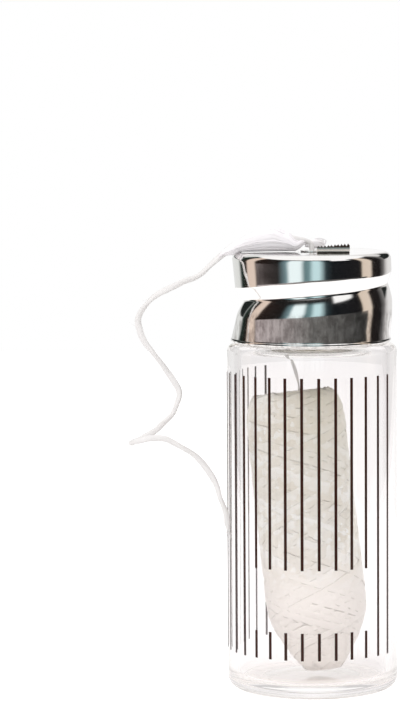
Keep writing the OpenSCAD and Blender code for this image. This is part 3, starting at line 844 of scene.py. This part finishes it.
def makeCap():
    c = cap
    radius, top, sheet, edge, hole = c["radius"], c["top"], c["sheet"], c["edge"], c["holeRadius"]
    middle = (radius - edge, top - edge)
    curl = (radius - c["skirtDraw"] - sheet / 2, c["hemZ"])
    low, high, flat = c["hemZ"] + 0.3, top - edge - 0.15, 8.5
    outline = [(hole, top - sheet * 0.5), (hole + 0.05, top - 0.04), (hole + 0.2, top), (4, top), (7, top),
               (9.2, top)]
    outline += arc(middle, edge, 88, 0, 14)
    outline += [(radius, mix(high, low, i / c["rows"])) for i in range(c["rows"] + 1)]
    outline += arc(curl, c["hemRoll"] / 2, 52, -238, 22)
    outline += [(radius - sheet, mix(low + 0.05, high, i / c["rows"])) for i in range(c["rows"] + 1)]
    outline += arc(middle, edge - sheet, 0, 88, 8)
    outline += [(7, top - sheet), (hole + 0.2, top - sheet)]
    piece = turned("capShell", outline, c["steps"], closed=True)

    def pressed(p):
        r = hypot(p.x, p.y)
        a = degrees(atan2(p.x, -p.y))
        if p.z > high + 0.01:
            new = r - c["wallTaper"] * (p.z - c["taperZ"]) * smooth((r - flat) / (radius - flat))
        elif p.z < low - 0.01:
            new = r + c["skirtDraw"] / 2 * (1 - sin(radians(a)))
        else:
            new = r - radius + wallRadius(a, p.z)
        return Vector((p.x * new / r, p.y * new / r, p.z)) if r > 0.01 else p

    movedVertices(piece, pressed)
    # The inside of the sheet, above the curl, is the second material
    for face in piece.data.polygons:
        centre = face.center / mm
        r = hypot(centre.x, centre.y)
        if centre.z < high:
            wall = wallRadius(degrees(atan2(centre.x, -centre.y)), centre.z)
            inside = r < wall - sheet * 0.75 and centre.z > low + 0.1
        else:
            out = Vector((max(0, r - middle[0]), centre.z - middle[1])).length
            inside = out < edge - sheet * 0.75 and r > hole + 0.1
        face.material_index = int(inside)
    return shadedSmooth(piece, 50)


steel = polishedSteel()
capPiece = makeCap()
dressed(capPiece, steel, "cap", "polished_steel", "cap_shell")
capPiece.data.materials.append(whiteLacquer())
print("cap pressed,", len(capPiece.data.polygons), "faces")


# Eyelet, liner and cutter
eyelet = {"bore": 0.8, "flange": 1.5, "thickness": 0.16, "barrel": 1.15, "under": 58.85, "steps": 64}


def makeEyelet():
    bore, flange, barrel = eyelet["bore"], eyelet["flange"], eyelet["barrel"]
    top, under, edge = cap["top"], eyelet["under"], eyelet["thickness"] / 2
    outline = [(bore, under - 0.1), (bore + 0.05, under - 0.2), (bore + 0.15, under - 0.25)]
    outline += arc((flange - edge, under - edge), edge, -90, 90, 8)
    outline += [(barrel, under), (barrel, top)]
    outline += arc((flange - edge, top + edge), edge, -90, 90, 8)
    outline += [(bore + 0.2, top + 0.16), (bore + 0.08, top + 0.13), (bore, top + 0.05)]
    return shadedSmooth(turned("flossEyelet", outline, eyelet["steps"], closed=True), 50)


dressed(makeEyelet(), steel, "cap", "polished_steel", "floss_eyelet")
recoated("cap_liner", foamLiner())

cutter = {
    "left": 0.7, "width": 4.4, "front": -4.4, "low": 0.95, "high": 1.3, "sheet": 0.26, "foot": 2.2,
    "bend": 0.8, "teeth": 10, "toothDepth": 0.3, "edge": 0.03,
    "footRows": 4, "bendRows": 7, "toothRows": 4,
}


def makeCutter():
    # A strip bent up from its foot: the rows run from the foot's back edge over the bend to the teeth
    c = cutter
    columns = 2 * c["teeth"]
    bendEnd = c["footRows"] + c["bendRows"]
    rows = bendEnd + c["toothRows"]
    piece = added("cutterBlade", bpy.ops.mesh.primitive_grid_add, x_subdivisions=columns,
                  y_subdivisions=rows, size=2)
    front, bend, inner = c["front"], c["bend"], c["sheet"] / 2

    def strip(p):
        column = round((p.x + 1) / 2 * columns)
        row = round((p.y + 1) / 2 * rows)
        if row <= c["footRows"]:
            y, z = mix(front + c["foot"], front + bend, row / c["footRows"]), inner
        elif row <= bendEnd:
            w = radians(90 * (row - c["footRows"]) / c["bendRows"])
            y = front + bend - (bend - inner) * sin(w)
            z = bend - (bend - inner) * cos(w)
        else:
            # Every second point is a gap between teeth, no two of them alike
            gap = c["toothDepth"] * (1 + 0.5 * waver(column * 1.7, 2.0, 0))
            point = 0.08 * waver(column, 5.0, 0)
            crest = mix(c["low"], c["high"], column / columns) - (gap if column % 2 == 0 else point)
            y, z = front + inner, mix(bend, crest, (row - bendEnd) / c["toothRows"])
        return Vector((c["left"] + c["width"] * column / columns, y, cap["top"] + z)) * mm

    for v in piece.data.vertices:
        v.co = strip(v.co)
    bpy.ops.object.mode_set(mode="EDIT")
    bpy.ops.mesh.select_all(action="SELECT")
    bpy.ops.mesh.normals_make_consistent(inside=False)
    bpy.ops.object.mode_set(mode="OBJECT")
    sheet = piece.modifiers.new("sheet", "SOLIDIFY")
    sheet.thickness = c["sheet"] * mm
    sheet.offset = 0
    edges = piece.modifiers.new("edges", "BEVEL")
    edges.width = c["edge"] * mm
    edges.segments = 2
    edges.angle_limit = radians(40)
    for name in ("sheet", "edges"):
        bpy.ops.object.modifier_apply(modifier=name)
    return shadedSmooth(piece, 40)


dressed(makeCutter(), bladeSteel(), "cap", "blade_steel", "cutter_blade")
print("cutter and eyelet set")


# Stage and light
light = {
    "floorSeen": 0.3,  # how much the table glows to the camera, so that it shows white
    "floorMirrored": 0.04,  # and in mirrors
    "inGlass": 0.82,  # the share of the dark room that is lost inside the glass
    "inGlassMirrored": -0.17,  # less of it, once the glass has mirrored the ray
    "key": (1.8, 0.5, (-0.4, -0.35, 0.6)),  # watts, size and place
    "fill": (0.4, 0.4, (0.5, -0.3, 0.4)),
}
roomStops = (
    (-180, "#FFFFFF"), (-174, "#E6E7E6"), (-134, "#DDDFDD"), (-126, "#20302A"), (-110, "#241C18"),
    (-107, "#DCC8BA"), (-92, "#E0CDBF"), (-88, "#241814"), (-50, "#14100F"), (-37, "#6F8A90"),
    (-31, "#EFFDFF"), (-16, "#EFFDFF"), (-10, "#5E7A7E"), (-4, "#6E8C90"), (2, "#C4E2E6"), (10, "#C4E2E6"),
    (20, "#243236"), (30, "#0A0E12"), (76, "#100E10"), (79, "#D9C9B8"), (94, "#DCCDBE"), (98, "#171110"),
    (116, "#1B1818"), (127, "#6E6C6B"), (136, "#C6C4C3"), (144, "#E0DFDE"), (172, "#E6E5E4"),
    (180, "#FFFFFF"))
carpetStops = ((-80, "#C3B8B8"), (0, "#747371"), (70, "#3B3B3A"))


def makeFloor():
    floor = added("floor", bpy.ops.mesh.primitive_plane_add, size=1)
    floor.scale = (0.36, 0.61, 1)
    floor.location = (0, 0.195, 0)  # its front edge is what ends the white band in the cap
    bpy.ops.object.transform_apply(location=True, rotation=False, scale=True)
    material, tree = newMaterial("paleTable")
    rays = addNode(tree, "LightPath").outputs
    seen = addNode(tree, "Math", {"operation": "MULTIPLY", 0: rays["Is Camera Ray"], 1: light["floorSeen"]})
    glow = addNode(tree, "Math", {
        "operation": "MULTIPLY_ADD", 0: rays["Is Glossy Ray"], 1: light["floorMirrored"], 2: seen})
    lit = addNode(tree, "Emission", {"Strength": glow})
    tone = addNode(tree, "Mix", {"Factor": rays["Is Transmission Ray"], toneA: "#F4F3F3", toneB: "#F8F4F4"})
    matt = addNode(tree, "BsdfDiffuse", {"Color": tone})
    both = addNode(tree, "AddShader", {0: matt, 1: lit})
    floor.data.materials.append(finishMaterial(material, both))


def setStops(ramp, stops):
    # Colours at angles round the object, in degrees from the front
    while len(ramp.elements) < len(stops):
        ramp.elements.new(0.5)
    for element, (angle, colour) in zip(ramp.elements, stops):
        element.position = (angle + 180) / 360
    for element, (angle, colour) in zip(ramp.elements, stops):
        element.color = linear(colour)


def makeRoom():
    # A white sweep behind and above, a dark room in front, two cool windows and two warm boards
    world = bpy.data.worlds.new("studio")
    bpy.context.scene.world = world
    world.use_nodes = True
    tree = world.node_tree
    tree.nodes.clear()
    way = addNode(tree, "TexCoord").outputs["Generated"]
    parts = addNode(tree, "SeparateXYZ", {"Vector": way}).outputs
    front = addNode(tree, "Math", {"operation": "MULTIPLY", 0: parts["Y"], 1: -1.0})
    azimuth = addNode(tree, "Math", {"operation": "ARCTAN2", 0: parts["X"], 1: front})
    sideways = addNode(tree, "Math", {"operation": "ABSOLUTE", 0: azimuth})
    share = addNode(tree, "MapRange", {"From Min": -pi, "From Max": pi, "Value": azimuth})
    walls = addNode(tree, "ValToRGB", {"Fac": share})
    setStops(walls.color_ramp, roomStops)
    grey = addNode(tree, "ValToRGB", {"Fac": share})
    setStops(grey.color_ramp, carpetStops)
    mottle = addNode(tree, "TexNoise", {"Scale": 14.0, "Detail": 5.0, "Roughness": 0.65, "Vector": way})
    patchy = addNode(tree, "MapRange", {
        "From Min": 0.3, "From Max": 0.7, "To Min": 0.4, "To Max": 1.45, "Value": mottle})
    carpet = addNode(tree, "VectorMath", {"operation": "SCALE", 0: grey, "Scale": patchy})
    # Gates open between two angles in degrees: up from the horizon, off or round from the front
    sources = {"up": parts["Z"], "off": sideways, "round": azimuth}
    gates = {}
    for name, source, shut, opened in (
            ("lampsEnd", "up", 36, 41), ("ceiling", "up", 46, 49), ("windowLow", "up", 33, 35),
            ("carpetFar", "up", -2.4, -4.8), ("tableNear", "up", -25.5, -28.5),
            ("shelfLow", "up", 5, 8), ("shelfHigh", "up", 30, 26), ("ahead", "off", 80, 76),
            ("carpetSides", "off", 90, 87), ("behind", "off", 128, 132), ("notBack", "off", 170, 164),
            ("windowLeft", "round", 30, 34), ("windowRight", "round", 68, 62)):
        low, high = radians(shut), radians(opened)
        if source == "up":
            low, high = sin(low), sin(high)
        gates[name] = addNode(tree, "MapRange", {"From Min": low, "From Max": high, "Value": sources[source]})
    # Each line lays a colour over the view where all of its gates are open
    view = walls
    for names, colour in (
            (("lampsEnd", "ahead"), "#100D0C"), (("carpetFar", "carpetSides"), carpet),
            (("tableNear",), "#FFFFFF"), (("shelfLow", "shelfHigh", "behind", "notBack"), "#1C211F"),
            (("windowLow", "windowLeft", "windowRight"), "#FFFFFF"), (("ceiling",), "#FFFFFF")):
        cover = gates[names[0]]
        for name in names[1:]:
            cover = addNode(tree, "Math", {"operation": "MULTIPLY", 0: cover, 1: gates[name]})
        view = addNode(tree, "Mix", {"Factor": cover, toneA: view, toneB: colour})
    rays = addNode(tree, "LightPath").outputs
    mirrored = addNode(tree, "Background", {"Color": view})
    white = addNode(tree, "Background", {"Color": "#FFFFFF"})
    warm = addNode(tree, "Background", {"Color": "#FBF7F7"})
    through = addNode(tree, "MixShader", {0: rays["Is Transmission Ray"], 1: white, 2: warm})
    bright = addNode(tree, "MixShader", {0: rays["Is Glossy Ray"], 1: through, 2: warm})
    # Inside the glass the dark room counts for little, as it does in an overexposed picture
    inside = addNode(tree, "Math", {"operation": "GREATER_THAN", 0: rays["Transmission Depth"], 1: 0.5})
    bounced = addNode(tree, "Math", {"operation": "GREATER_THAN", 0: rays["Glossy Depth"], 1: 0.5})
    loss = addNode(tree, "Math", {
        "operation": "MULTIPLY_ADD", 0: bounced, 1: light["inGlassMirrored"], 2: light["inGlass"]})
    lost = addNode(tree, "Math", {"operation": "MULTIPLY", 0: inside, 1: loss})
    kept = addNode(tree, "Math", {"operation": "SUBTRACT", 0: 1.0, 1: lost})
    dark = addNode(tree, "Math", {"operation": "MULTIPLY", 0: rays["Is Glossy Ray"], 1: kept})
    full = addNode(tree, "MixShader", {0: dark, 1: bright, 2: mirrored})
    addNode(tree, "OutputWorld", {"Surface": full})


def addLamp(name):
    power, size, place = light[name]
    data = bpy.data.lights.new(name, "AREA")
    data.energy = power
    data.size = size
    lamp = bpy.data.objects.new(name, data)
    bpy.context.collection.objects.link(lamp)
    lamp.location = place
    lamp.rotation_euler = (Vector((0, 0, 0.03)) - Vector(place)).to_track_quat("-Z", "Y").to_euler()
    # It lights the object and is itself unseen
    lamp.visible_glossy = lamp.visible_transmission = lamp.visible_camera = False


makeFloor()
makeRoom()
addLamp("key")
addLamp("fill")
bpy.context.scene.view_settings.view_transform = "Standard"
print("stage and light set")
